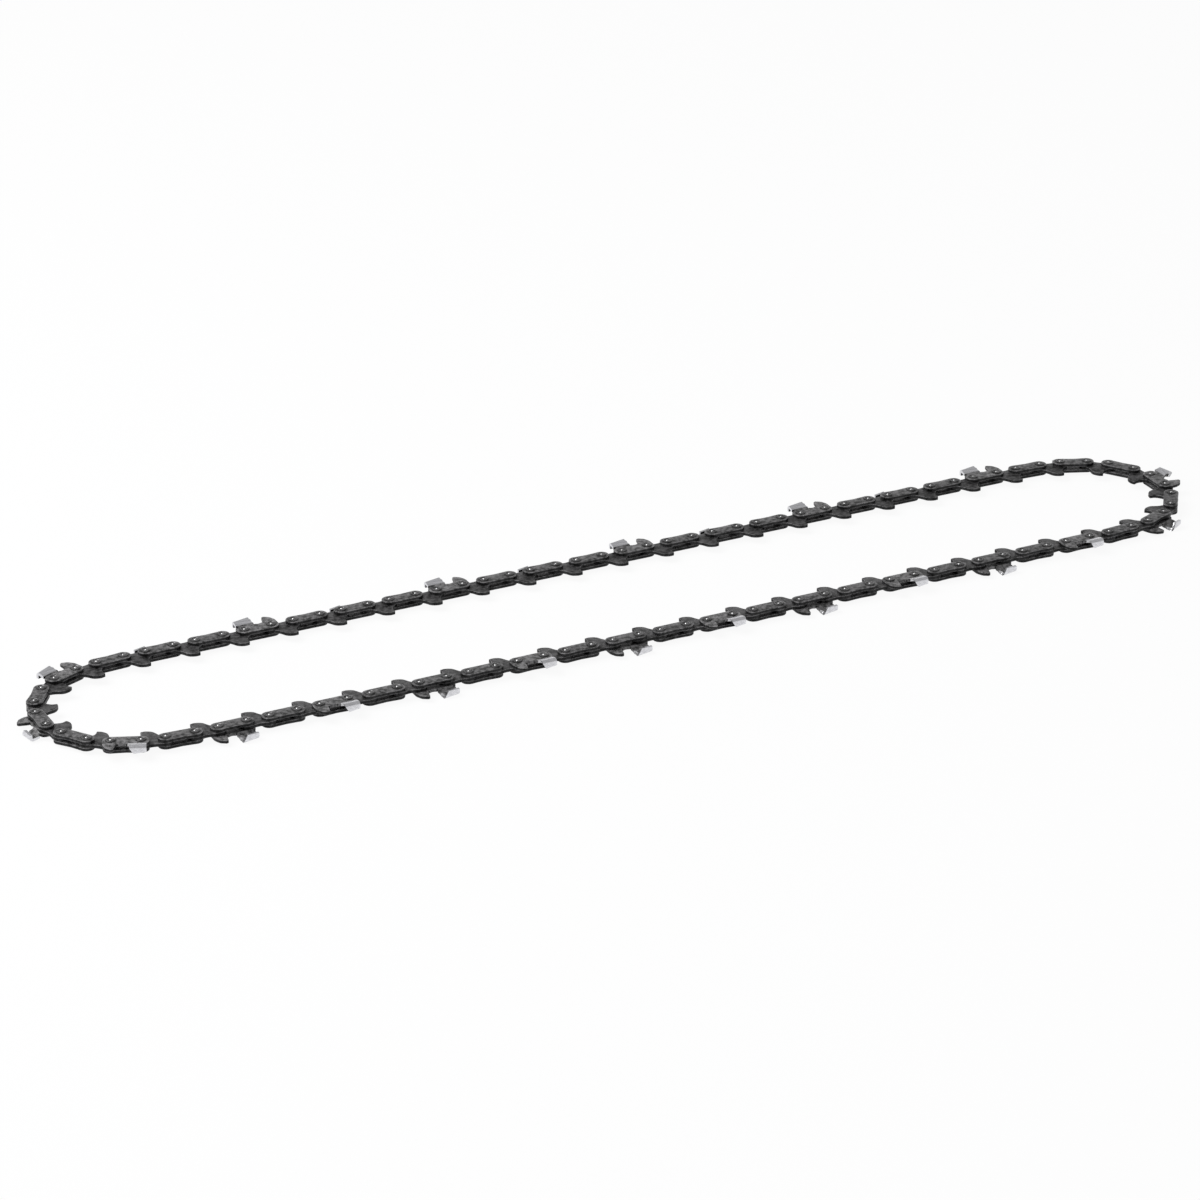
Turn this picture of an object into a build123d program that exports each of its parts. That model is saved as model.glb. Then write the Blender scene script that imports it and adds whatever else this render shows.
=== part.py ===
"""Low-profile saw chain: a closed loop of riveted link units, lying on its side.

A link unit is one pair of side plates riveted to one drive link.  The drive link's free eye
turns on the pivot rivet of the unit in front of it.  Every other pair carries a cutter,
right-hand and left-hand in turn.  All sizes in millimetres, Z up, rivet axes vertical.
"""

import os
from math import cos, exp, radians, sin, tan

from build123d import *

# Loop: link units, rivet spacings and the shape in which the chain lies
LINK_UNITS = 52
SIDE_PITCH = 10.24
DRIVE_PITCH = 8.4
END_TURN_RIVETS = 10.4
END_TURN_LEAD = 3.5
END_SHOULDER = 0.75

# Chassis: drive links run between the side plates
GAUGE = 1.3
PLATE_THICKNESS = 1.2
PLATE_HALF_HEIGHT = 2.75
PLATE_WAIST = 0.35
PIVOT_RADIUS = 2.0
PIVOT_CLEARANCE = 0.05
EYE_FLAT_COUNT = 6

# Drive link: two rounded eyes, a saddle between them and the hooked tang below
EYE_RADIUS = 2.7
SADDLE_HEIGHT = 1.9
TANG_DEPTH = 8.1
TANG_WIDTH = 7.2
TANG_LEAD = 1.0

# Cutter: depth gauge in front, file gullet, then the tooth with its bent-over top plate
TOOTH_HEIGHT = 7.5
TOOTH_LENGTH = 6.4
TOOTH_FRONT = 4.4
TOOTH_FLARE = 1.35
TOOTH_REACH = 0.3
TOP_PLATE = 1.0
TOP_PLATE_ANGLE = 30.0
TOOTH_ROOT = 0.6
SHOULDER_DEPTH = 0.2
SHOULDER_WIDTH = 0.9
INNER_CORNER = 0.5
TOP_RELIEF = 0.13
SIDE_RELIEF = 0.06
INNER_TAPER = 0.12
HEEL_FOOT = 1.0
HEEL_RISE = 0.5
GAUGE_DROP = 0.55
GAUGE_REAR = 9.2
GAUGE_LEAN = 0.9
GAUGE_CAP = 0.8
GULLET_RADIUS = 2.0

PLATE_IN = GAUGE / 2
PLATE_OUT = PLATE_IN + PLATE_THICKNESS
MID_HEIGHT = PLATE_OUT + TOOTH_FLARE
HALF_RIVETS = LINK_UNITS
END_TURN_CENTRE = HALF_RIVETS - END_TURN_LEAD


def flats(centre, radius, first, last, count):
    """Corners of a run of equal flats that touch a circle, from one angle to another."""
    step = (last - first) / count
    corner = radius / cos(radians(abs(step) / 2))
    angles = [radians(first + step * (i + 0.5)) for i in range(count)]
    return [(centre[0] + corner * cos(a), centre[1] + corner * sin(a)) for a in angles]


def bend_weight(rivet):
    """Share of a half turn taken at a rivet: full within the end, fading at its shoulders."""
    away = abs((rivet - END_TURN_CENTRE + HALF_RIVETS / 2) % HALF_RIVETS - HALF_RIVETS / 2)
    return 1 / (1 + exp((away - END_TURN_RIVETS / 2) / END_SHOULDER))


def loop_layout():
    """Place and heading (degrees) of each stretch from rivet to rivet, centred on the origin."""
    total = sum(bend_weight(rivet) for rivet in range(HALF_RIVETS))
    heading = 180 * sum(bend_weight(rivet) for rivet in range(1, HALF_RIVETS // 2 + 1)) / total
    x, y = 0.0, 0.0
    stretches = []
    for rivet in range(2 * HALF_RIVETS):
        stretches.append((x, y, heading))
        pitch = DRIVE_PITCH if rivet % 2 else SIDE_PITCH
        x += pitch * cos(radians(heading))
        y += pitch * sin(radians(heading))
        heading -= 180 * bend_weight((rivet + 1) % HALF_RIVETS) / total
    centre_x = (stretches[0][0] + stretches[HALF_RIVETS][0]) / 2
    centre_y = (stretches[0][1] + stretches[HALF_RIVETS][1]) / 2
    return [(x - centre_x, y - centre_y, heading) for x, y, heading in stretches]


def drive_outline():
    """Drive link seen along the rivets: front eye, saddle, rear eye, tang with its hooked front."""
    middle = DRIVE_PITCH / 2
    root = middle + TANG_LEAD
    half = TANG_WIDTH / 2
    front_eye = flats((DRIVE_PITCH, 0), EYE_RADIUS, -60, 120, 4)
    rear_eye = flats((0, 0), EYE_RADIUS, 60, 240, 4)
    tang = [
        (root - half, -0.52 * TANG_DEPTH),
        (root - 0.62 * half, -0.85 * TANG_DEPTH),
        (root + 0.1 * half, -TANG_DEPTH),
        (root + 0.6 * half, -0.97 * TANG_DEPTH),
        (root + 0.5 * half, -0.72 * TANG_DEPTH),
        (root + 0.9 * half, -0.44 * TANG_DEPTH),
    ]
    return front_eye + [(middle, SADDLE_HEIGHT)] + rear_eye + tang


def strap_outline():
    """Tie strap: rounded ends on both rivets, straight foot, slightly waisted back."""
    rear_end = flats((0, 0), PLATE_HALF_HEIGHT, 90, 270, 4)
    front_end = flats((SIDE_PITCH, 0), PLATE_HALF_HEIGHT, 270, 450, 4)
    waist = PLATE_HALF_HEIGHT - PLATE_WAIST
    return rear_end + front_end + [(SIDE_PITCH / 2, waist)]


def cutter_outline():
    """Cutter chassis: rounded rear, straight foot, ramped depth gauge and round file gullet."""
    rear_end = flats((0, 0), PLATE_HALF_HEIGHT, 90, 270, 4)
    front_end = flats((SIDE_PITCH, 0), PLATE_HALF_HEIGHT, 270, 360, 2)
    gauge_top = TOOTH_HEIGHT - GAUGE_DROP
    gauge = [
        (SIDE_PITCH + 0.95 * PLATE_HALF_HEIGHT, 0.52 * gauge_top),
        (SIDE_PITCH + 0.6 * PLATE_HALF_HEIGHT, 0.82 * gauge_top),
        (GAUGE_REAR + GAUGE_CAP, gauge_top),
        (GAUGE_REAR, 0.96 * gauge_top),
    ]
    gullet_centre = (GAUGE_REAR - GAUGE_LEAN - GULLET_RADIUS, PLATE_HALF_HEIGHT + 0.75 * GULLET_RADIUS)
    gullet = flats(gullet_centre, GULLET_RADIUS, 0, -180, 3)
    return rear_end + front_end + gauge + gullet


def tooth_section():
    """Tooth seen from its front: flared side plate, rounded shoulder, top plate over the chain."""
    outer = PLATE_OUT + TOOTH_FLARE
    under = TOOTH_HEIGHT - TOP_PLATE
    foot = PLATE_HALF_HEIGHT - TOOTH_ROOT
    return [
        (foot, PLATE_OUT),
        (0.78 * TOOTH_HEIGHT, outer),
        (0.94 * TOOTH_HEIGHT, outer - SHOULDER_DEPTH),
        (TOOTH_HEIGHT, outer - SHOULDER_WIDTH),
        (TOOTH_HEIGHT, -TOOTH_REACH),
        (under, -TOOTH_REACH),
        (under, outer - PLATE_THICKNESS - INNER_CORNER),
        (0.78 * TOOTH_HEIGHT, outer - PLATE_THICKNESS),
        (foot, PLATE_IN + SIDE_RELIEF * TOOTH_LENGTH),
    ]


def plate(points, low, high):
    """Flat plate of a given outline between two heights."""
    with BuildPart() as blank:
        with BuildSketch(Plane.XY.offset(low)):
            with BuildLine():
                Polyline(*points, close=True)
            make_face()
        extrude(amount=high - low)
    return blank.part


with BuildPart() as drive_link:
    add(plate(drive_outline(), -PLATE_IN, PLATE_IN))
    with BuildSketch(Plane.XY.offset(-PLATE_IN)):
        with Locations((DRIVE_PITCH, 0)):
            RegularPolygon(PIVOT_RADIUS + PIVOT_CLEARANCE, EYE_FLAT_COUNT, major_radius=False)
    extrude(amount=GAUGE, mode=Mode.SUBTRACT)

with BuildPart() as pivot_rivet:
    with BuildSketch(Plane.XY.offset(-PLATE_IN)):
        RegularPolygon(PIVOT_RADIUS, EYE_FLAT_COUNT)
    extrude(amount=GAUGE)

with BuildPart() as upper_strap:
    add(plate(strap_outline(), PLATE_IN, PLATE_OUT))

with BuildPart() as lower_strap:
    mirror(upper_strap.part, about=Plane.XY)

with BuildPart() as tooth:
    with BuildSketch(Plane((TOOTH_FRONT, 0, 0), x_dir=(0, 1, 0), z_dir=(1, 0, 0))):
        with BuildLine():
            Polyline(*tooth_section(), close=True)
        make_face()
    extrude(amount=TOOTH_LENGTH, dir=(-1, -TOP_RELIEF, -SIDE_RELIEF))
    edge_slope = tan(radians(TOP_PLATE_ANGLE))
    cutting_plane = Plane((TOOTH_FRONT, 0, MID_HEIGHT), z_dir=(1, 0, -edge_slope))
    split(bisect_by=cutting_plane, keep=Keep.BOTTOM)
    inner_edge = Plane((TOOTH_FRONT, 0, -TOOTH_REACH), z_dir=(INNER_TAPER, 0, 1))
    split(bisect_by=inner_edge, keep=Keep.TOP)
    heel_notch = Plane((-HEEL_FOOT, PLATE_HALF_HEIGHT, 0), z_dir=(HEEL_RISE, 1, 0))
    split(bisect_by=heel_notch, keep=Keep.TOP)

with BuildPart() as right_cutter:
    add(plate(cutter_outline(), PLATE_IN, PLATE_OUT))
    add(tooth.part)

with BuildPart() as left_cutter:
    mirror(right_cutter.part, about=Plane.XY)

os.makedirs("parts", exist_ok=True)
stretches = loop_layout()
for unit in range(LINK_UNITS):
    kind = ("right_cutter", "tie_strap", "left_cutter", "tie_strap")[unit % 4]
    upper = right_cutter if kind == "right_cutter" else upper_strap
    lower = left_cutter if kind == "left_cutter" else lower_strap
    side_x, side_y, side_heading = stretches[2 * unit]
    drive_x, drive_y, drive_heading = stretches[2 * unit + 1]
    with BuildPart() as link_unit:
        with Locations(Location((side_x, side_y, MID_HEIGHT), (0, 0, side_heading))):
            add(upper.part)
            add(lower.part)
            add(pivot_rivet.part)
        with Locations(Location((drive_x, drive_y, MID_HEIGHT), (0, 0, drive_heading))):
            add(drive_link.part)
    name = f"{kind}_link_{unit + 1:02d}"
    link_unit.part.label = name
    export_step(link_unit.part, f"parts/{name}.step")
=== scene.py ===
"""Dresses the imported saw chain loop: straps, cutters, drive links and rivets of blackened steel.

Every piece is modelled once, in millimetres, in its own link's frame: x along the chain's travel
from the rear rivet, y away from the guide bar and z along the rivets, with zero at mid gauge.
The copies are then set out along the loop in metres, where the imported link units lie.
"""

import logging
import math
from collections.abc import Callable
from dataclasses import dataclass, field
from enum import Enum

import bmesh
import bpy
from mathutils import Color, Matrix, Vector

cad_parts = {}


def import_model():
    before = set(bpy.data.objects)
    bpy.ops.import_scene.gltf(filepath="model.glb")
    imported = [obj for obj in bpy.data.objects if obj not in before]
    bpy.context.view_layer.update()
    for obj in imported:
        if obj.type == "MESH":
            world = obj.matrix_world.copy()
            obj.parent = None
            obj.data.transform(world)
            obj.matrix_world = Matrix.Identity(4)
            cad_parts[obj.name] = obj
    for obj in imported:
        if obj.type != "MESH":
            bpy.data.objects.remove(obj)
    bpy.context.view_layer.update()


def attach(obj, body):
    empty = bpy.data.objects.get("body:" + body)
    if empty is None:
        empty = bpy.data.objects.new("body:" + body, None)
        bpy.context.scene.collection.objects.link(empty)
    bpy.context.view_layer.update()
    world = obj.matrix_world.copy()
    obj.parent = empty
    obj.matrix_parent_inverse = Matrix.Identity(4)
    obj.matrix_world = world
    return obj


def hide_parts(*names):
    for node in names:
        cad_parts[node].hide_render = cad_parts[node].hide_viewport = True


LOG = logging.getLogger("saw_chain")
METRES = 0.001
OWN_PLACE = "own_place"

# Sizes that several pieces share, in millimetres
SIDE_PITCH = 10.24
DRIVE_PITCH = 8.4
PLATE_INNER = 0.65
PLATE_OUTER = 1.85

# Selections: how near a measure lies to the wanted one, and how far a direction follows an axis
NEAR = 0.01
ALONG = 0.9
TOWARDS = 0.5
ACROSS = 0.1

Test = Callable[[Vector, Vector], bool]
Socket = bpy.types.NodeSocket
Colour = tuple[float, float, float]
Point = tuple[float, float, float]
Corner = tuple[float, float]
Span = tuple[float, float]


class Pick(Enum):
    """What a selection on the bench takes hold of."""

    CORNERS = "VERT"
    EDGES = "EDGE"
    FACES = "FACE"


class Reach(Enum):
    """How the width of a rounding is measured."""

    ACROSS_FACE = "OFFSET"
    ALONG_EDGE = "ABSOLUTE"


class Hand(Enum):
    """The side of the chain that a cutter's tooth is flared to."""

    RIGHT = 1
    LEFT = -1


class LinkKind(Enum):
    """What the side plates of a link unit are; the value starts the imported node's name."""

    RIGHT_CUTTER = "right_cutter_link"
    TIE_STRAP = "tie_strap_link"
    LEFT_CUTTER = "left_cutter_link"


class Slot(Enum):
    """Places in a piece's list of finishes."""

    BODY = 0
    RIM = 1
    SIDE = 2
    PLATED = 3
    GROUND = 4


# Bench


def near(measure: float, wanted: float) -> bool:
    """Whether a measure is the wanted one, but for rounding."""
    return abs(measure - wanted) < NEAR


class Workpiece:
    """One mesh on the bench, in millimetres, shaped in edit mode as by hand."""

    SCORE_WIDTH = 1e-5
    MERGE_WIDTH = 1e-4
    PUNCH_LENGTH = 12.0
    FLAT_ANGLE = math.radians(0.5)

    def __init__(self, name: str) -> None:
        """Takes up the primitive that was just added, applies its place and opens it for editing.

        Args:
            name: The piece's name.
        """
        self.obj = bpy.context.object
        self.obj.name = name
        self.obj.data.name = name
        bpy.ops.object.transform_apply(location=True, rotation=True, scale=True)
        bpy.ops.object.mode_set(mode="EDIT")

    @staticmethod
    def clear_bench() -> None:
        """Leaves edit mode and lets go of everything that is selected."""
        if bpy.context.object and bpy.context.object.mode != "OBJECT":
            bpy.ops.object.mode_set(mode="OBJECT")
        bpy.ops.object.select_all(action="DESELECT")

    @classmethod
    def block(cls, name: str, low: Point, high: Point) -> "Workpiece":
        """Starts from a block between two corners.

        Args:
            name: The piece's name.
            low: The block's lowest corner.
            high: The block's highest corner.

        Returns:
            The block, open for editing.
        """
        cls.clear_bench()
        middle = (Vector(low) + Vector(high)) / 2
        bpy.ops.mesh.primitive_cube_add(size=1.0, location=middle, scale=Vector(high) - Vector(low))
        return cls(name)

    @classmethod
    def disc(cls, name: str, radius: float, corners: int) -> "Workpiece":
        """Starts from a flat disc at mid gauge, across the rivets' direction.

        Args:
            name: The piece's name.
            radius: The disc's radius.
            corners: How many corners its rim has.

        Returns:
            The disc, open for editing.
        """
        cls.clear_bench()
        bpy.ops.mesh.primitive_circle_add(
            vertices=corners, radius=radius, fill_type="NGON", location=(0, 0, 0)
        )
        return cls(name)

    @classmethod
    def rod(
        cls, name: str, radius: float, flats: int, middle: Vector, along: Vector, length: float
    ) -> "Workpiece":
        """Starts from a round rod, such as a punch or a file.

        Args:
            name: The rod's name.
            radius: The rod's radius.
            flats: How many flats it has.
            middle: The rod's middle.
            along: The direction of its axis.
            length: The rod's length.

        Returns:
            The rod, open for editing.
        """
        cls.clear_bench()
        turn = along.to_track_quat("Z", "Y").to_euler()
        bpy.ops.mesh.primitive_cylinder_add(
            vertices=flats, radius=radius, depth=length, location=middle, rotation=turn
        )
        return cls(name)

    def select(self, pick: Pick, test: Test, sharper_than: float = 0.0) -> None:
        """Selects what a test names.

        Args:
            pick: Corners, edges or faces.
            test: Told the middle of each, and an edge's direction or the normal of the others.
            sharper_than: For edges, the least angle between their faces, in degrees.
        """
        bpy.ops.mesh.select_mode(type=pick.value)
        bpy.ops.mesh.select_all(action="DESELECT")
        mesh = bmesh.from_edit_mesh(self.obj.data)
        mesh.normal_update()
        for corner in mesh.verts if pick is Pick.CORNERS else ():
            corner.select_set(test(corner.co, corner.normal))
        for edge in mesh.edges if pick is Pick.EDGES else ():
            start, end = (corner.co for corner in edge.verts)
            sharp = edge.calc_face_angle(math.pi) >= math.radians(sharper_than)
            edge.select_set(sharp and test((start + end) / 2, (end - start).normalized()))
        for face in mesh.faces if pick is Pick.FACES else ():
            face.select_set(test(face.calc_center_median(), face.normal))
        mesh.select_flush_mode()
        bmesh.update_edit_mesh(self.obj.data)

    def score(self, point: Point, normal: Point) -> None:
        """Scores the whole piece along a plane, which adds a row of edges there."""
        bpy.ops.mesh.select_all(action="SELECT")
        bpy.ops.mesh.bisect(plane_co=point, plane_no=normal, threshold=self.SCORE_WIDTH)

    def merge_flats(self) -> None:
        """Takes out the scored lines that a flat face no longer needs."""
        bpy.ops.mesh.select_all(action="SELECT")
        bpy.ops.mesh.dissolve_limited(angle_limit=self.FLAT_ANGLE)

    def nudge(self, test: Test, shift: Point) -> None:
        """Moves the corners that a test names."""
        self.select(Pick.CORNERS, test)
        bpy.ops.transform.translate(value=shift)

    def set_row(self, row: list[Corner], wanted: list[Corner]) -> None:
        """Moves a row of corners to new places in the plate's outline.

        Args:
            row: Where the corners are.
            wanted: Where they go, in the same order.
        """
        for (x, y), (new_x, new_y) in zip(row, wanted):
            self.nudge(lambda c, n: near(c.x, x) and near(c.y, y), (new_x - x, new_y - y, 0))

    def extrude(self, shift: Point) -> None:
        """Draws out the selected faces."""
        bpy.ops.mesh.extrude_region_move(TRANSFORM_OT_translate={"value": shift})

    def bevel(
        self, width: float, steps: int, slot: Slot | None = None, reach: Reach = Reach.ACROSS_FACE
    ) -> None:
        """Rounds the selected edges.

        Args:
            width: How far the rounding reaches from the edge.
            steps: How many facets it has.
            slot: The finish of the new faces, or None for that of their neighbours.
            reach: How the width is measured.
        """
        bpy.ops.mesh.bevel(
            offset_type=reach.value,
            offset=width,
            segments=steps,
            affect="EDGES",
            clamp_overlap=False,
            material=-1 if slot is None else slot.value,
        )

    def round_post(self, corner: Corner, width: float, steps: int) -> None:
        """Rounds the edge that stands along the rivets at one corner of a plate's outline.

        Args:
            corner: The corner's place in the outline.
            width: How far the rounding reaches along the outline.
            steps: How many facets it has.
        """
        x, y = corner
        self.select(Pick.EDGES, lambda m, way: abs(way.z) > ALONG and near(m.x, x) and near(m.y, y))
        self.bevel(width, steps, reach=Reach.ALONG_EDGE)

    def finish_faces(self, slot: Slot, test: Test) -> None:
        """Gives the faces that a test names another finish.

        Args:
            slot: The finish.
            test: Told the middle and the normal of each face.
        """
        self.select(Pick.FACES, test)
        mesh = bmesh.from_edit_mesh(self.obj.data)
        for face in mesh.faces:
            if face.select:
                face.material_index = slot.value
        bmesh.update_edit_mesh(self.obj.data)

    def take_away(self, tool: "Workpiece") -> None:
        """Cuts another piece's shape out of this one, and throws the other away.

        Args:
            tool: The piece with the shape of the cut.
        """
        self.clear_bench()
        bpy.context.view_layer.objects.active = self.obj
        self.obj.select_set(True)
        cutting = self.obj.modifiers.new("cut", "BOOLEAN")
        cutting.operation = "DIFFERENCE"
        cutting.solver = "EXACT"
        cutting.object = tool.obj
        bpy.ops.object.modifier_apply(modifier=cutting.name)
        bpy.data.objects.remove(tool.obj)
        bpy.ops.object.mode_set(mode="EDIT")

    def punch(self, radius: float, flats: int, middle: Point) -> None:
        """Punches a round hole along the rivets' direction."""
        upright = Vector((0, 0, 1))
        self.take_away(self.rod("punch", radius, flats, Vector(middle), upright, self.PUNCH_LENGTH))

    def dress(self, finishes: list[bpy.types.Material]) -> None:
        """Puts the finishes in the piece's slots, in the order of Slot."""
        for finish in finishes:
            self.obj.data.materials.append(finish)

    def close(self, smooth_angle: float = 32.0) -> bpy.types.Object:
        """Ends the work: merges doubles, turns the faces outwards and notes each corner's own place.

        Args:
            smooth_angle: Edges flatter than this are shaded smooth, in degrees.

        Returns:
            The finished master, whose copies are set out along the loop.
        """
        bpy.ops.mesh.select_all(action="SELECT")
        bpy.ops.mesh.remove_doubles(threshold=self.MERGE_WIDTH)
        bpy.ops.mesh.normals_make_consistent(inside=False)
        bpy.ops.object.mode_set(mode="OBJECT")
        bpy.ops.object.shade_smooth_by_angle(angle=math.radians(smooth_angle))
        places = self.obj.data.attributes.new(OWN_PLACE, "FLOAT_VECTOR", "POINT")
        places.data.foreach_set("vector", [c for corner in self.obj.data.vertices for c in corner.co])
        self.obj.hide_render = True
        return self.obj


# Finishes


def screen(level: int, red: int = 0, blue: int = 0) -> Colour:
    """A near-grey as it is seen on a screen, turned to the linear colour that a shader takes.

    Args:
        level: Green, from 0 to 255.
        red: How far red lies above green.
        blue: How far blue lies above green.

    Returns:
        The linear colour.
    """
    seen = Color([value / 255 for value in (level + red, level, level + blue)])
    return tuple(seen.from_srgb_to_scene_linear())


@dataclass(frozen=True)
class Mottle:
    """One layer of noise in a finish."""

    scale: float
    detail: float
    roughness: float = 0.5


class NodeTree:
    """Small helper that adds linked nodes to a material."""

    # Places of a Mix node's colour sockets, and the middle of a noise's values
    COLOUR_A, COLOUR_B, COLOUR_RESULT = 6, 7, 2
    NOISE_LOW, NOISE_HIGH = 0.3, 0.7

    def __init__(self, name: str) -> None:
        """Starts a material and keeps its surface shader.

        Args:
            name: The material's name.
        """
        self.material = bpy.data.materials.new(name)
        self.material.use_nodes = True
        self.tree = self.material.node_tree
        self.surface = self.tree.nodes["Principled BSDF"]

    def add(self, kind: str, **values: object) -> bpy.types.Node:
        """Adds a node.

        Args:
            kind: The node's type.
            values: Its properties, or the values of its inputs where it has no such property.

        Returns:
            The new node.
        """
        node = self.tree.nodes.new(kind)
        for name, value in values.items():
            if hasattr(node, name):
                setattr(node, name, value)
            else:
                node.inputs[name.replace("_", " ")].default_value = value
        return node

    def link(self, source: Socket, target: Socket) -> None:
        """Joins two sockets."""
        self.tree.links.new(source, target)

    def noise(self, place: Socket, mottle: Mottle) -> Socket:
        """Adds a layer of noise.

        Args:
            place: The socket of the place at which it is read.
            mottle: The layer.

        Returns:
            The noise value's socket.
        """
        node = self.add(
            "ShaderNodeTexNoise", Scale=mottle.scale, Detail=mottle.detail, Roughness=mottle.roughness
        )
        self.link(place, node.inputs["Vector"])
        return node.outputs["Fac"]

    def work_out(self, operation: str, first: Socket, second: Socket | float) -> Socket:
        """Works out one value from two.

        Args:
            operation: The Math node's operation.
            first: The first value's socket.
            second: The second value, or its socket.

        Returns:
            The result's socket.
        """
        node = self.add("ShaderNodeMath", operation=operation)
        self.link(first, node.inputs[0])
        if isinstance(second, float):
            node.inputs[1].default_value = second
        else:
            self.link(second, node.inputs[1])
        return node.outputs["Value"]

    def ramp(self, source: Socket, stops: list[tuple[float, Colour]]) -> Socket:
        """Turns a grey value to colours.

        Args:
            source: The value's socket.
            stops: The places and colours along the ramp.

        Returns:
            The colour's socket.
        """
        node = self.add("ShaderNodeValToRGB")
        elements = node.color_ramp.elements
        while len(elements) < len(stops):
            elements.new(1.0)
        for element, (place, colour) in zip(elements, stops):
            element.position = place
            element.color = (*colour, 1.0)
        self.link(source, node.inputs["Fac"])
        return node.outputs["Color"]

    def spread(self, source: Socket, low: float, high: float) -> Socket:
        """Maps the middle of a noise's values to a range.

        Args:
            source: The value's socket.
            low: What a low value becomes.
            high: What a high value becomes.

        Returns:
            The new value's socket.
        """
        node = self.add(
            "ShaderNodeMapRange",
            From_Min=self.NOISE_LOW,
            From_Max=self.NOISE_HIGH,
            To_Min=low,
            To_Max=high,
        )
        self.link(source, node.inputs["Value"])
        return node.outputs["Result"]

    def from_rivet(self, rivets: tuple[float, ...]) -> Socket:
        """Measures how far a place on a link lies from the axis of its nearest rivet.

        Args:
            rivets: The rivets' places along the link, in millimetres.

        Returns:
            The distance's socket, in millimetres.
        """
        place = self.add("ShaderNodeAttribute", attribute_name=OWN_PLACE).outputs["Vector"]
        flat = self.add("ShaderNodeVectorMath", operation="MULTIPLY")
        flat.inputs[1].default_value = (1, 1, 0)
        self.link(place, flat.inputs[0])
        nearest = None
        for rivet in rivets:
            away = self.add("ShaderNodeVectorMath", operation="DISTANCE")
            away.inputs[1].default_value = (rivet, 0, 0)
            self.link(flat.outputs["Vector"], away.inputs[0])
            found = away.outputs["Value"]
            nearest = found if nearest is None else self.work_out("MINIMUM", nearest, found)
        return nearest

    def bump(self, source: Socket, strength: float, depth: float) -> None:
        """Lets a value dent the surface.

        Args:
            source: The value's socket.
            strength: How much of the dents shows.
            depth: How deep they are, in metres.
        """
        node = self.add("ShaderNodeBump", Strength=strength, Distance=depth)
        self.link(source, node.inputs["Height"])
        self.link(node.outputs["Normal"], self.surface.inputs["Normal"])


@dataclass(frozen=True)
class OxideSteel:
    """Blackened steel, oily and satin, mottled and finely pitted, dark round the rivets with oil and painted
    shade.

    A ring is a distance from the rivet's axis, in millimetres, and the share of the colour there.
    """

    name: str
    dark: Colour
    light: Colour
    rough: Span = (0.36, 0.52)
    metallic: float = 0.35
    gloss: float = 0.5
    rivets: tuple[float, ...] = (0.0,)
    # The dark rings paint the shade round a rivet head's foot, and partly stand for oil there.
    rings: tuple[Span, ...] = ((1.7, 0.2), (2.3, 1.0))
    ring_scale: float = 4.0
    blotches: Mottle = Mottle(640.0, 2.0)
    grain: Mottle = Mottle(2200.0, 5.0, 0.6)
    pits: Mottle = Mottle(5200.0, 2.0)
    grain_share: float = 0.4
    stops: Span = (0.4, 0.61)
    pit_strength: float = 0.22
    pit_depth: float = 0.00004

    def material(self) -> bpy.types.Material:
        """Makes the finish.

        Returns:
            The material.
        """
        nodes = NodeTree(self.name)
        place = nodes.add("ShaderNodeTexCoord").outputs["Object"]
        grain = nodes.noise(place, self.grain)
        mottled = nodes.add("ShaderNodeMix", data_type="FLOAT", Factor=self.grain_share)
        nodes.link(nodes.noise(place, self.blotches), mottled.inputs["A"])
        nodes.link(grain, mottled.inputs["B"])
        colour = nodes.ramp(mottled.outputs["Result"], list(zip(self.stops, (self.dark, self.light))))
        # Painted shade, partly oil: the colour darkens in rings round each rivet's axis.
        away = nodes.work_out("DIVIDE", nodes.from_rivet(self.rivets), self.ring_scale)
        rings = [(radius / self.ring_scale, (shade, shade, shade)) for radius, shade in self.rings]
        oil_and_shade = nodes.add("ShaderNodeMix", data_type="RGBA", blend_type="MULTIPLY", Factor=1.0)
        nodes.link(colour, oil_and_shade.inputs[nodes.COLOUR_A])
        nodes.link(nodes.ramp(away, rings), oil_and_shade.inputs[nodes.COLOUR_B])
        nodes.link(oil_and_shade.outputs[nodes.COLOUR_RESULT], nodes.surface.inputs["Base Color"])
        nodes.link(nodes.spread(grain, *self.rough), nodes.surface.inputs["Roughness"])
        nodes.bump(nodes.noise(place, self.pits), self.pit_strength, self.pit_depth)
        nodes.surface.inputs["Metallic"].default_value = self.metallic
        nodes.surface.inputs["Specular IOR Level"].default_value = self.gloss
        return nodes.material


@dataclass(frozen=True)
class BrushedPlate:
    """Hard chrome or ground steel with fine lines in one direction."""

    name: str
    dark: Colour
    light: Colour
    rough: Span = (0.2, 0.36)
    stretch: Point = (0.12, 5.0, 5.0)
    lines: Mottle = Mottle(1.0, 4.0, 0.65)
    stops: Span = (0.34, 0.62)
    line_strength: float = 0.12
    line_depth: float = 0.00003

    def material(self) -> bpy.types.Material:
        """Makes the finish.

        Returns:
            The material.
        """
        nodes = NodeTree(self.name)
        place = nodes.add("ShaderNodeAttribute", attribute_name=OWN_PLACE).outputs["Vector"]
        stretched = nodes.add("ShaderNodeMapping", Scale=self.stretch)
        nodes.link(place, stretched.inputs["Vector"])
        lines = nodes.noise(stretched.outputs["Vector"], self.lines)
        colour = nodes.ramp(lines, list(zip(self.stops, (self.dark, self.light))))
        nodes.link(colour, nodes.surface.inputs["Base Color"])
        nodes.link(nodes.spread(lines, *self.rough), nodes.surface.inputs["Roughness"])
        nodes.bump(lines, self.line_strength, self.line_depth)
        nodes.surface.inputs["Metallic"].default_value = 1.0
        return nodes.material


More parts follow.
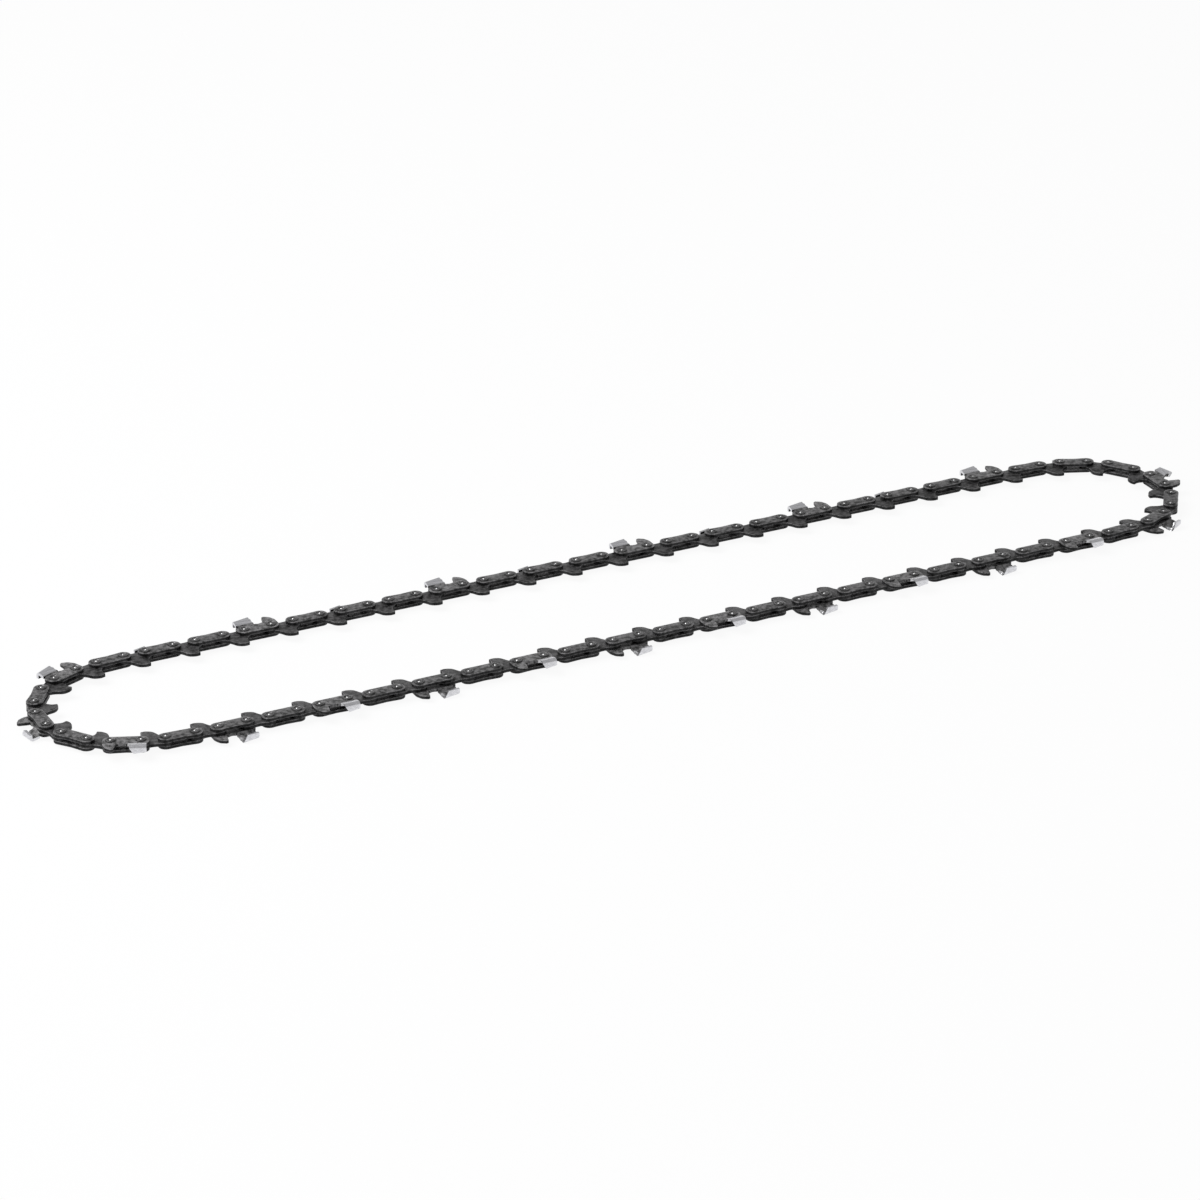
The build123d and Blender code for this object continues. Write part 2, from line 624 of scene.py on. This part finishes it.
class FinishRack:
    """All the finishes of the chain."""

    def __init__(self) -> None:
        """Makes every finish once."""
        ends = (0.0, SIDE_PITCH)
        eyes = (0.0, DRIVE_PITCH)
        # Rings on a spun head: faint spinning marks, with painted shade in the groove and at the head's edge.
        spun_marks_and_shade = ((0.6, 1.0), (1.0, 0.9), (1.15, 0.3), (1.35, 1.0), (1.75, 0.2))
        across = (5.0, 5.0, 0.25)
        self.plate = OxideSteel("black_oxide_strap", screen(32), screen(112, 1, 1), rivets=ends).material()
        self.cutter = OxideSteel("black_oxide_cutter", screen(46), screen(128, 1, 1), rivets=ends).material()
        # The plates' edge faces get a much darker colour: painted shade on the faces that stand away from the
        # light.
        self.side = OxideSteel(
            "sheared_edge_painted_shade", screen(12), screen(52, 0, 1), gloss=0.2, rivets=ends
        ).material()
        self.rim = OxideSteel(
            "rubbed_plate_edge", screen(60), screen(130, 1, 1), rough=(0.3, 0.44), rivets=ends
        ).material()
        self.drive = OxideSteel(
            "black_oxide_drive_link", screen(22), screen(82, 1, 1), gloss=0.4, rivets=eyes
        ).material()
        self.head = OxideSteel(
            "spun_rivet_head", screen(52), screen(112, 1, 1), rough=(0.26, 0.4), metallic=0.6, rings=spun_marks_and_shade
        ).material()
        self.spot = BrushedPlate(
            "bright_rivet_centre", screen(150), screen(196), rough=(0.34, 0.48)
        ).material()
        self.chrome = BrushedPlate("hard_chrome", screen(184, 0, 3), screen(236, 0, 4)).material()
        self.ground = BrushedPlate(
            "file_ground_edge", screen(150), screen(205, 0, 3), rough=(0.24, 0.4), stretch=across
        ).material()


# Loop


@dataclass(frozen=True)
class LoopLayout:
    """The rivet line of the chain as it lies, in millimetres."""

    units: int = 52
    side_pitch: float = SIDE_PITCH
    drive_pitch: float = DRIVE_PITCH
    end_turn_rivets: float = 10.4
    end_turn_lead: float = 3.5
    end_shoulder: float = 0.75
    mid_height: float = 3.2

    def bend_weight(self, rivet: int) -> float:
        """Shares out a half turn: full within an end, fading at its shoulders.

        Args:
            rivet: The rivet's number along half the loop.

        Returns:
            The rivet's weight.
        """
        centre = self.units - self.end_turn_lead
        away = abs((rivet - centre + self.units / 2) % self.units - self.units / 2)
        return 1 / (1 + math.exp((away - self.end_turn_rivets / 2) / self.end_shoulder))

    def stretches(self) -> list[tuple[float, float, float]]:
        """Sets out the stretches from rivet to rivet.

        Returns:
            Each stretch's x, y and heading in radians, from the first unit's rear rivet on.
        """
        weights = [self.bend_weight(rivet) for rivet in range(self.units)]
        total = sum(weights)
        heading = math.pi * sum(weights[1 : self.units // 2 + 1]) / total
        x, y = 0.0, 0.0
        found = []
        for rivet in range(2 * self.units):
            found.append((x, y, heading))
            pitch = self.drive_pitch if rivet % 2 else self.side_pitch
            x += pitch * math.cos(heading)
            y += pitch * math.sin(heading)
            heading -= math.pi * weights[(rivet + 1) % self.units] / total
        middle_x = (found[0][0] + found[self.units][0]) / 2
        middle_y = (found[0][1] + found[self.units][1]) / 2
        return [(x - middle_x, y - middle_y, heading) for x, y, heading in found]

    def places(self) -> list[Matrix]:
        """Turns the stretches to matrices.

        Returns:
            For each stretch, the matrix from its link's millimetres to the scene's metres.
        """
        shrink = Matrix.Scale(METRES, 4)
        return [
            shrink @ Matrix.Translation((x, y, self.mid_height)) @ Matrix.Rotation(heading, 4, "Z")
            for x, y, heading in self.stretches()
        ]


# Pieces


@dataclass
class SidePlate:
    """Sizes that straps and cutters share, and the work that both need."""

    pitch: float = SIDE_PITCH
    radius: float = 2.75
    inner: float = PLATE_INNER
    outer: float = PLATE_OUTER
    hole: float = 1.5
    hole_flats: int = 20
    rim: float = 0.16
    rim_steps: int = 2
    rim_angle: float = 50.0
    end_share: float = 0.985
    end_steps: int = 9

    def blank(self, name: str) -> Workpiece:
        """Starts a plate from a block that reaches round both rivets."""
        low = (-self.radius, -self.radius, self.inner)
        return Workpiece.block(name, low, (self.pitch + self.radius, self.radius, self.outer))

    def drill(self, piece: Workpiece) -> None:
        """Makes the two rivet holes."""
        for x in (0.0, self.pitch):
            piece.punch(self.hole, self.hole_flats, (x, 0, self.outer))

    def ease_rims(self, piece: Workpiece) -> None:
        """Rounds the edges of a plate's faces a little, as tumbling leaves them.

        Args:
            piece: The plate with its whole outline, before it is drilled.
        """

        def lies_flat(middle: Vector, way: Vector) -> bool:
            """Whether an edge goes round one of the plate's faces."""
            return abs(way.z) < ACROSS and (near(middle.z, self.inner) or near(middle.z, self.outer))

        # The edge faces take the darker side finish, which paints their shade.
        piece.finish_faces(Slot.SIDE, lambda c, n: abs(n.z) < ACROSS and self.inner < c.z < self.outer)
        piece.select(Pick.EDGES, lies_flat, sharper_than=self.rim_angle)
        piece.bevel(self.rim, self.rim_steps, Slot.RIM)


@dataclass
class Strap(SidePlate):
    """Plain side plate: round ends on both rivets, straight foot, slightly waisted back."""

    waist: float = 0.35
    waist_reach: float = 2.4
    reach_share: float = 0.6

    def model(self, finishes: FinishRack) -> bpy.types.Object:
        """Models the strap on the upper side.

        Args:
            finishes: The chain's finishes.

        Returns:
            The master.
        """
        piece = self.blank("strap_master")
        middle = self.pitch / 2
        rear, front = middle - self.waist_reach, middle + self.waist_reach
        dips = {rear: self.reach_share, middle: 1.0, front: self.reach_share}
        for place in (0.0, *dips, self.pitch):
            piece.score((place, 0, 0), (1, 0, 0))
        for place, share in dips.items():
            piece.nudge(lambda c, n: near(c.x, place) and c.y > 0, (0, -self.waist * share, 0))
        for x in (-self.radius, self.pitch + self.radius):
            for y in (-self.radius, self.radius):
                piece.round_post((x, y), self.radius * self.end_share, self.end_steps)
        piece.dress([finishes.plate, finishes.rim, finishes.side])
        self.ease_rims(piece)
        self.drill(piece)
        return piece.close()


@dataclass
class DriveLink:
    """Centre plate: two eyes, the saddle between them, and the hooked tang that runs in the bar."""

    pitch: float = DRIVE_PITCH
    eye: float = 2.7
    eye_share: float = 0.98
    eye_steps: int = 9
    half_gauge: float = 0.63
    saddle: float = 1.9
    chin: float = -1.52
    neck: float = 8.2
    tang_back: Corner = (1.6, -4.2)
    tang_front: Corner = (8.44, -3.56)
    heel: Corner = (2.97, -6.88)
    core: Corner = (5.1, -6.6)
    notch: Corner = (7.0, -5.83)
    toe: Corner = (4.1, -7.58)
    tip: Corner = (5.6, -8.08)
    nose: Corner = (7.34, -7.84)
    tang_step: float = 1.5
    corner_steps: int = 4
    hub: float = 2.03
    hub_flats: int = 24
    rim: float = 0.13
    rim_steps: int = 2
    rim_angle: float = 50.0

    def model(self, finishes: FinishRack) -> bpy.types.Object:
        """Models the drive link.

        Args:
            finishes: The chain's finishes.

        Returns:
            The master.
        """
        middle = self.pitch / 2
        front = self.pitch + self.eye
        low = (-self.eye, -self.eye, -self.half_gauge)
        piece = Workpiece.block("drive_link_master", low, (front, self.eye, self.half_gauge))
        for x in (0.0, self.tang_back[0], middle, self.neck):
            piece.score((x, 0, 0), (1, 0, 0))
        piece.nudge(lambda c, n: near(c.x, middle) and c.y > 0, (0, self.saddle - self.eye, 0))
        piece.nudge(lambda c, n: near(c.x, front) and c.y < 0, (0, self.chin + self.eye, 0))
        self.draw_tang(piece, middle)
        piece.merge_flats()
        self.round_outline(piece, middle, front)
        piece.dress([finishes.drive, finishes.rim, finishes.side])
        # The edge faces take the darker side finish, which paints their shade.
        piece.finish_faces(Slot.SIDE, lambda c, n: abs(n.z) < ACROSS)
        piece.select(Pick.EDGES, lambda m, way: abs(way.z) < ACROSS, sharper_than=self.rim_angle)
        piece.bevel(self.rim, self.rim_steps, Slot.RIM)
        for x in (0.0, self.pitch):
            piece.punch(self.hub, self.hub_flats, (x, 0, 0))
        return piece.close()

    def draw_tang(self, piece: Workpiece, middle: float) -> None:
        """Draws the tang out of the foot between the eyes, row by row.

        Args:
            piece: The plate, scored where the tang starts and ends.
            middle: Half way between the eyes.
        """
        foot = -self.eye
        root = [self.tang_back, (middle, self.tang_back[1]), self.tang_front]
        rows = [root, [self.heel, self.core, self.notch], [self.toe, self.tip, self.nose]]
        piece.set_row([(x, foot) for x in (self.tang_back[0], middle, self.neck)], root)
        for row, wanted in zip(rows, rows[1:]):
            back, front = row[0][0], row[-1][0]
            piece.select(Pick.FACES, lambda c, n: n.y < -TOWARDS and back < c.x < front and c.y < foot)
            piece.extrude((0, -self.tang_step, 0))
            piece.set_row([(x, y - self.tang_step) for x, y in row], wanted)

    def round_outline(self, piece: Workpiece, middle: float, front: float) -> None:
        """Rounds the eyes, the saddle and the corners of the tang.

        Args:
            piece: The plate with its tang.
            middle: Half way between the eyes.
            front: The plate's front end.
        """
        for corner in ((-self.eye, -self.eye), (-self.eye, self.eye), (front, self.eye)):
            piece.round_post(corner, self.eye * self.eye_share, self.eye_steps)
        roundings = {
            (front, self.chin): 1.5,
            (middle, self.saddle): 1.6,
            self.tang_back: 0.9,
            self.heel: 0.75,
            self.toe: 0.5,
            self.tip: 0.5,
            self.nose: 0.4,
            self.notch: 0.9,
            self.tang_front: 0.6,
        }
        for corner, width in roundings.items():
            piece.round_post(corner, width, self.corner_steps)


@dataclass
class Rivet:
    """Stepped rivet: a hub that the drive link turns on, and a spun head on each side."""

    hub: float = 2.0
    half_gauge: float = PLATE_INNER
    shank: float = 1.49
    plate_outer: float = PLATE_OUTER
    head: float = 1.75
    head_draft: float = 0.05
    head_side: float = 0.2
    proud: float = 0.34
    ring: float = 1.15
    ring_slope: float = 0.22
    ring_depth: float = 0.14
    dimple: float = 0.42
    dimple_depth: float = 0.12
    pip_share: float = 0.4
    pip_rise: float = 0.12
    corners: int = 16
    smooth_angle: float = 28.0

    def model(self, finishes: FinishRack) -> bpy.types.Object:
        """Models the rivet from mid gauge to both heads.

        Args:
            finishes: The chain's finishes.

        Returns:
            The master.
        """
        piece = Workpiece.disc("rivet_master", self.hub, self.corners)
        piece.dress([finishes.head, finishes.head, finishes.head, finishes.spot])
        for side in (1, -1):
            self.draw_side(piece, side)
        return piece.close(self.smooth_angle)

    def draw_side(self, piece: Workpiece, side: int) -> None:
        """Draws hub, shank and head to one side by extruding and scaling the end face.

        Args:
            piece: The rivet's middle disc, or the disc with one side drawn.
            side: Up or down along the rivet, 1 or -1.
        """
        top = self.plate_outer + self.proud
        floor = top - self.dimple_depth
        steps = [
            (self.hub, self.half_gauge),
            (self.shank, self.half_gauge),
            (self.shank, self.plate_outer),
            (self.head, self.plate_outer),
            (self.head - self.head_draft, self.plate_outer + self.head_side),
            (self.ring + self.ring_slope, top),
            (self.ring, top - self.ring_depth),
            (self.dimple, floor),
            (self.dimple * self.pip_share, top + self.pip_rise),
        ]
        piece.select(Pick.FACES, lambda c, n: near(c.z, 0) and abs(n.z) > ALONG)
        radius, height = self.hub, 0.0
        for new_radius, new_height in steps:
            piece.extrude((0, 0, side * (new_height - height)))
            share = new_radius / radius
            bpy.ops.transform.resize(value=(share, share, 1), center_override=(0, 0, 0))
            radius, height = new_radius, new_height
        piece.finish_faces(Slot.PLATED, lambda c, n: side * c.z > floor and c.xy.length < self.dimple)


@dataclass
class Cutter(SidePlate):
    """Cutting link: depth gauge in front, file gullet, and the bent-over chromed tooth behind."""

    heel_foot: float = -1.0
    heel_gap: float = 0.02
    heel_top: float = 3.2
    tooth_top: float = 7.5
    tooth_rear: float = -1.93
    tooth_front: float = 4.4
    tooth_ahead: float = 4.7
    tooth_outer: float = 3.17
    tooth_wall: float = 1.0
    wall_start: Span = (1.3, 2.22)
    inner_end: float = -0.07
    inner_taper: float = 0.53
    bend: float = 1.3
    bend_steps: int = 6
    top_relief: float = 0.13
    side_relief: float = 0.06
    plated_edge: float = 0.2
    edge_angle: float = 30.0
    file_radius: float = 2.0
    file_drop: float = 1.2
    file_flats: int = 32
    file_length: float = 20.0
    file_play: float = 0.05
    gullet: Corner = (6.3, 4.25)
    gullet_radius: float = 2.0
    gullet_flats: int = 28
    gauge_foot: float = 8.35
    gauge_front: Corner = (12.85, 3.61)
    gauge_brow: Corner = (11.89, 5.7)
    gauge_top: Corner = (10.0, 6.94)
    gauge_beak: Corner = (9.2, 6.66)
    gauge_lean: float = 0.252
    gauge_step: float = 1.2
    corner_steps: int = 4

    def model(self, finishes: FinishRack, hand: Hand) -> bpy.types.Object:
        """Models the cutter.

        Args:
            finishes: The chain's finishes.
            hand: The side that its tooth is flared to.

        Returns:
            The master.
        """
        piece = self.blank(f"{hand.name.lower()}_cutter_master")
        piece.dress([finishes.cutter, finishes.rim, finishes.side, finishes.chrome, finishes.ground])
        for x in (self.heel_foot, self.tooth_ahead, self.gauge_foot):
            piece.score((x, 0, 0), (1, 0, 0))
        self.draw_gauge(piece)
        self.draw_tooth(piece)
        piece.merge_flats()
        self.round_outline(piece)
        self.ease_rims(piece)
        self.plate_tooth(piece)
        self.grind(piece)
        self.drill(piece)
        if hand is Hand.LEFT:
            bpy.ops.mesh.select_all(action="SELECT")
            bpy.ops.transform.resize(value=(1, 1, -1), center_override=(0, 0, 0))
        return piece.close()

    def draw_gauge(self, piece: Workpiece) -> None:
        """Draws the depth gauge out of the plate's back above the front rivet, row by row.

        Args:
            piece: The plate, scored where the gauge starts.
        """
        beak_x, beak_y = self.gauge_beak
        row = [(self.gauge_foot, self.radius), (self.pitch + self.radius, self.radius)]
        rows = [
            [(beak_x - self.gauge_lean * (beak_y - y), y), (x, y)]
            for x, y in (self.gauge_front, self.gauge_brow)
        ]
        for wanted in (*rows, [self.gauge_beak, self.gauge_top]):
            level = min(y for _, y in row) - NEAR
            piece.select(Pick.FACES, lambda c, n: n.y > TOWARDS and c.x > self.gauge_foot and c.y > level)
            piece.extrude((0, self.gauge_step, 0))
            piece.set_row([(x, y + self.gauge_step) for x, y in row], wanted)
            row = wanted

    def draw_tooth(self, piece: Workpiece) -> None:
        """Draws the flared wall out of the plate's back, bends it over and draws out the top plate.

        Args:
            piece: The plate, scored where the tooth starts and ends.
        """
        shoulder = self.tooth_top - self.bend
        bend_axis = self.tooth_outer - self.bend
        length = self.tooth_front - self.tooth_rear
        wall_end = (self.tooth_outer - self.tooth_wall, self.tooth_outer)

        def ends_at(height: float) -> Test:
            """Finds the end face of the wall drawn up to a height."""
            return lambda c, n: n.y > ALONG and near(c.y, height) and self.tooth_rear < c.x < self.tooth_ahead

        piece.select(Pick.FACES, lambda c, n: n.y > ALONG and self.heel_foot < c.x < self.tooth_ahead)
        self.raise_wall(piece, self.heel_top - self.radius, (self.inner, self.outer), self.wall_start)
        piece.nudge(
            lambda c, n: near(c.x, self.heel_foot) and near(c.y, self.heel_top),
            (self.tooth_rear - self.heel_foot, 0, 0),
        )
        piece.select(Pick.FACES, ends_at(self.heel_top))
        self.raise_wall(piece, shoulder - self.heel_top, self.wall_start, wall_end)
        piece.select(Pick.FACES, ends_at(shoulder))
        bpy.ops.mesh.spin(
            steps=self.bend_steps, angle=math.pi / 2, center=(0, shoulder, bend_axis), axis=(1, 0, 0)
        )
        piece.extrude((0, 0, self.inner_end - bend_axis))
        piece.nudge(
            lambda c, n: near(c.x, self.tooth_rear) and c.y > shoulder - NEAR,
            (0, -self.top_relief * length, -self.side_relief * length),
        )
        rear_end = self.inner_end - self.side_relief * length
        piece.nudge(
            lambda c, n: near(c.x, self.tooth_rear) and near(c.z, rear_end),
            (0, 0, self.inner_taper + self.side_relief * length),
        )

    @staticmethod
    def raise_wall(piece: Workpiece, rise: float, low: Span, high: Span) -> None:
        """Draws the selected end of the tooth's wall upwards to another place across the chain.

        Args:
            piece: The cutter, with the wall's end face selected.
            rise: How far the wall grows.
            low: The wall's inner and outer place at the start.
            high: The same at the new end.
        """
        share = (high[1] - high[0]) / (low[1] - low[0])
        piece.extrude((0, rise, high[1] - low[1]))
        bpy.ops.transform.resize(value=(1, 1, share), center_override=(0, 0, high[1]))

    def round_outline(self, piece: Workpiece) -> None:
        """Rounds both eyes and the depth gauge.

        Args:
            piece: The plate with its gauge and tooth.
        """
        front = self.pitch + self.radius
        end = self.radius * self.end_share
        heel = self.radius + self.heel_foot - self.heel_gap
        for corner, width in (
            ((-self.radius, -self.radius), end),
            ((-self.radius, self.radius), heel),
            ((front, -self.radius), end),
        ):
            piece.round_post(corner, width, self.end_steps)
        roundings = {self.gauge_front: 0.6, self.gauge_brow: 0.5, self.gauge_top: 0.25, self.gauge_beak: 0.12}
        for corner, width in roundings.items():
            piece.round_post(corner, width, self.corner_steps)

    def plate_tooth(self, piece: Workpiece) -> None:
        """Gives the tooth's outer faces and edges their hard chrome and leaves its hollow in the dark oxide,
        partly as painted shade.

        Args:
            piece: The cutter, before it is ground.
        """
        edge = self.inner_taper + self.plated_edge

        def is_outer(centre: Vector, normal: Vector) -> bool:
            """Finds the tooth's outward faces and the top plate's inner edge.

            Args:
                centre: A face's middle.
                normal: Its direction.

            Returns:
                Whether the face is plated.
            """
            outwards = max(normal.z, normal.y, -normal.x) > TOWARDS
            inner_edge = normal.z < -TOWARDS and centre.z < edge
            on_tooth = centre.y > self.heel_top and centre.x < self.tooth_ahead
            return on_tooth and (outwards or inner_edge)

        piece.score((0, self.heel_top, 0), (0, 1, 0))
        piece.finish_faces(Slot.PLATED, is_outer)

    def grind(self, piece: Workpiece) -> None:
        """Cuts the round gullet, then files the cutting edge at its angle across the chain.

        Args:
            piece: The cutter with its plated tooth.
        """
        piece.punch(self.gullet_radius, self.gullet_flats, (*self.gullet, self.outer))
        slant = math.radians(self.edge_angle)
        along = Vector((math.sin(slant), 0, math.cos(slant)))
        ahead = Vector((math.cos(slant), 0, -math.sin(slant)))
        middle = Vector((self.tooth_front, self.tooth_top - self.file_drop, self.tooth_outer))
        middle += ahead * math.sqrt(self.file_radius**2 - self.file_drop**2)
        file = Workpiece.rod("round_file", self.file_radius, self.file_flats, middle, along, self.file_length)
        piece.take_away(file)

        def is_filed(centre: Vector, normal: Vector) -> bool:
            """Finds the faces that the file left.

            Args:
                centre: A face's middle.
                normal: Its direction.

            Returns:
                Whether the face lies where the file ran.
            """
            away = centre - middle
            away -= along * away.dot(along)
            close = abs(away.length - self.file_radius) < self.file_play
            return close and away.normalized().dot(normal) < -ALONG

        piece.finish_faces(Slot.GROUND, is_filed)


# Chain


@dataclass
class ChainLoop:
    """The whole loop: masters of each piece, and their copies along the rivet line."""

    layout: LoopLayout
    finishes: FinishRack
    masters: dict[str, bpy.types.Object] = field(default_factory=dict)

    def model_masters(self) -> None:
        """Models each kind of piece once."""
        self.masters["strap"] = Strap().model(self.finishes)
        self.masters["drive_link"] = DriveLink().model(self.finishes)
        self.masters["rivet"] = Rivet().model(self.finishes)
        for hand in Hand:
            self.masters[f"{hand.name.lower()}_cutter"] = Cutter().model(self.finishes, hand)

    def set_out(self) -> None:
        """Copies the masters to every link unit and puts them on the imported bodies."""
        places = self.layout.places()
        kinds = (LinkKind.RIGHT_CUTTER, LinkKind.TIE_STRAP, LinkKind.LEFT_CUTTER, LinkKind.TIE_STRAP)
        under = Matrix.Scale(-1, 4, (0, 0, 1))
        for unit in range(self.layout.units):
            kind = kinds[unit % len(kinds)]
            number = f"{unit + 1:02d}"
            node = f"{kind.value}_{number}"
            side, drive = places[2 * unit], places[2 * unit + 1]
            upper = "right_cutter" if kind is LinkKind.RIGHT_CUTTER else "strap"
            lower = "left_cutter" if kind is LinkKind.LEFT_CUTTER else "strap"
            below = side @ under if lower == "strap" else side
            self.put(upper, f"upper_{upper}_{number}", side, unit, node)
            self.put(lower, f"lower_{lower}_{number}", below, unit, node)
            self.put("drive_link", f"drive_link_{number}", drive, unit, node)
            self.put("rivet", f"pivot_rivet_{number}", side, unit, node)
            self.put("rivet", f"fixed_rivet_{number}", drive, unit, node)
        for master in self.masters.values():
            bpy.data.objects.remove(master)

    def put(self, master: str, name: str, place: Matrix, unit: int, node: str) -> None:
        """Sets one copy of a master in its place.

        Args:
            master: The master's key.
            name: The copy's name.
            place: From the master's millimetres to the scene's metres.
            unit: The link unit that carries it.
            node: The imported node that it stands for.
        """
        mesh = self.masters[master].data.copy()
        mesh.name = name
        mesh.transform(place)
        if place.determinant() < 0:
            mesh.flip_normals()
        piece = bpy.data.objects.new(name, mesh)
        bpy.context.scene.collection.objects.link(piece)
        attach(piece, f"unit_{unit + 1:02d}")
        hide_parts(node)
        LOG.info("%s: %d faces on unit %d", name, len(mesh.polygons), unit + 1)


# Studio


@dataclass(frozen=True)
class Studio:
    """White ground and backdrop, soft light from above and the camera of the product picture."""

    azimuth: float = 26.99
    elevation: float = 24.99
    distance: float = 1.654
    sensor: float = 36.0
    lens: float = 138.24
    shift: Span = (-0.02525, 0.0035)
    clip: Span = (0.05, 50.0)
    ground: float = 20.0
    backdrop_radius: float = 4.0
    backdrop_height: float = 1.3
    backdrop_sides: int = 64
    lit_white: Colour = (0.7, 0.7, 0.71)
    glow_share: float = 0.93
    room_strength: float = 0.45
    lamp_size: float = 1.2
    lamp_power: float = 26.0
    lamp_place: Point = (-0.9, 0.3, 1.15)

    def place_camera(self) -> None:
        """Sets the camera at the picture's angle, aimed at the middle of the loop's foot."""
        a, e = math.radians(self.azimuth), math.radians(self.elevation)
        right = Vector((math.cos(a), -math.sin(a), 0))
        ahead = Vector((math.sin(a) * math.cos(e), math.cos(a) * math.cos(e), -math.sin(e)))
        upward = right.cross(ahead)
        camera = bpy.data.objects.new("camera", bpy.data.cameras.new("camera"))
        camera.data.sensor_width = self.sensor
        camera.data.lens = self.lens
        camera.data.shift_x, camera.data.shift_y = self.shift
        camera.data.clip_start, camera.data.clip_end = self.clip
        axes = Matrix((right, upward, -ahead)).transposed().to_4x4()
        camera.matrix_world = Matrix.Translation(-ahead * self.distance) @ axes
        bpy.context.scene.collection.objects.link(camera)
        bpy.context.scene.camera = camera

    def white(self) -> bpy.types.Material:
        """Makes the studio's white, which shows white to the eye and in gloss and keeps a shadow.

        Returns:
            The material of ground and backdrop.
        """
        nodes = NodeTree("studio_white")
        nodes.surface.inputs["Base Color"].default_value = (*self.lit_white, 1)
        nodes.surface.inputs["Roughness"].default_value = 1.0
        nodes.surface.inputs["Specular IOR Level"].default_value = 0.0
        rays = nodes.add("ShaderNodeLightPath").outputs
        seen = nodes.work_out("MAXIMUM", rays["Is Camera Ray"], rays["Is Glossy Ray"])
        seen = nodes.work_out("MAXIMUM", seen, rays["Is Transmission Ray"])
        glow = nodes.add("ShaderNodeEmission", Color=(1, 1, 1, 1), Strength=1.0)
        mix = nodes.add("ShaderNodeMixShader")
        nodes.link(nodes.work_out("MULTIPLY", seen, self.glow_share), mix.inputs["Fac"])
        nodes.link(nodes.surface.outputs["BSDF"], mix.inputs[1])
        nodes.link(glow.outputs["Emission"], mix.inputs[2])
        nodes.link(mix.outputs["Shader"], nodes.tree.nodes["Material Output"].inputs["Surface"])
        return nodes.material

    def lay_ground(self) -> None:
        """Lays the white ground and stands a low white backdrop round it."""
        white = self.white()
        Workpiece.clear_bench()
        bpy.ops.mesh.primitive_plane_add(size=self.ground, location=(0, 0, 0))
        bpy.context.object.name = "ground"
        bpy.context.object.data.materials.append(white)
        bpy.ops.mesh.primitive_cylinder_add(
            vertices=self.backdrop_sides,
            radius=self.backdrop_radius,
            depth=self.backdrop_height,
            end_fill_type="NOTHING",
            location=(0, 0, self.backdrop_height / 2),
        )
        bpy.context.object.name = "backdrop"
        bpy.context.object.data.materials.append(white)

    def light(self) -> None:
        """Lights the scene with a bright dome and one large lamp above."""
        world = bpy.data.worlds.new("white_room")
        world.use_nodes = True
        dome = world.node_tree.nodes["Background"]
        dome.inputs["Color"].default_value = (1, 1, 1, 1)
        dome.inputs["Strength"].default_value = self.room_strength
        bpy.context.scene.world = world
        lamp = bpy.data.objects.new("soft_lamp", bpy.data.lights.new("soft_lamp", "AREA"))
        lamp.data.shape = "DISK"
        lamp.data.size = self.lamp_size
        lamp.data.energy = self.lamp_power
        place = Vector(self.lamp_place)
        lamp.matrix_world = Matrix.Translation(place) @ place.to_track_quat("Z", "Y").to_matrix().to_4x4()
        bpy.context.scene.collection.objects.link(lamp)
        bpy.context.scene.view_settings.view_transform = "Standard"


def corners(box: tuple[Vector, Vector]) -> list[list[float]]:
    """A box's lowest and highest corner as plain lists."""
    return [list(corner) for corner in box]


def main() -> None:
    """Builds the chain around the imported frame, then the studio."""
    logging.basicConfig(level=logging.INFO, format="%(name)s: %(message)s")
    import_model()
    chain = ChainLoop(LoopLayout(), FinishRack())
    chain.model_masters()
    chain.set_out()
    studio = Studio()
    studio.place_camera()
    studio.lay_ground()
    studio.light()


if __name__ == "__main__":
    main()
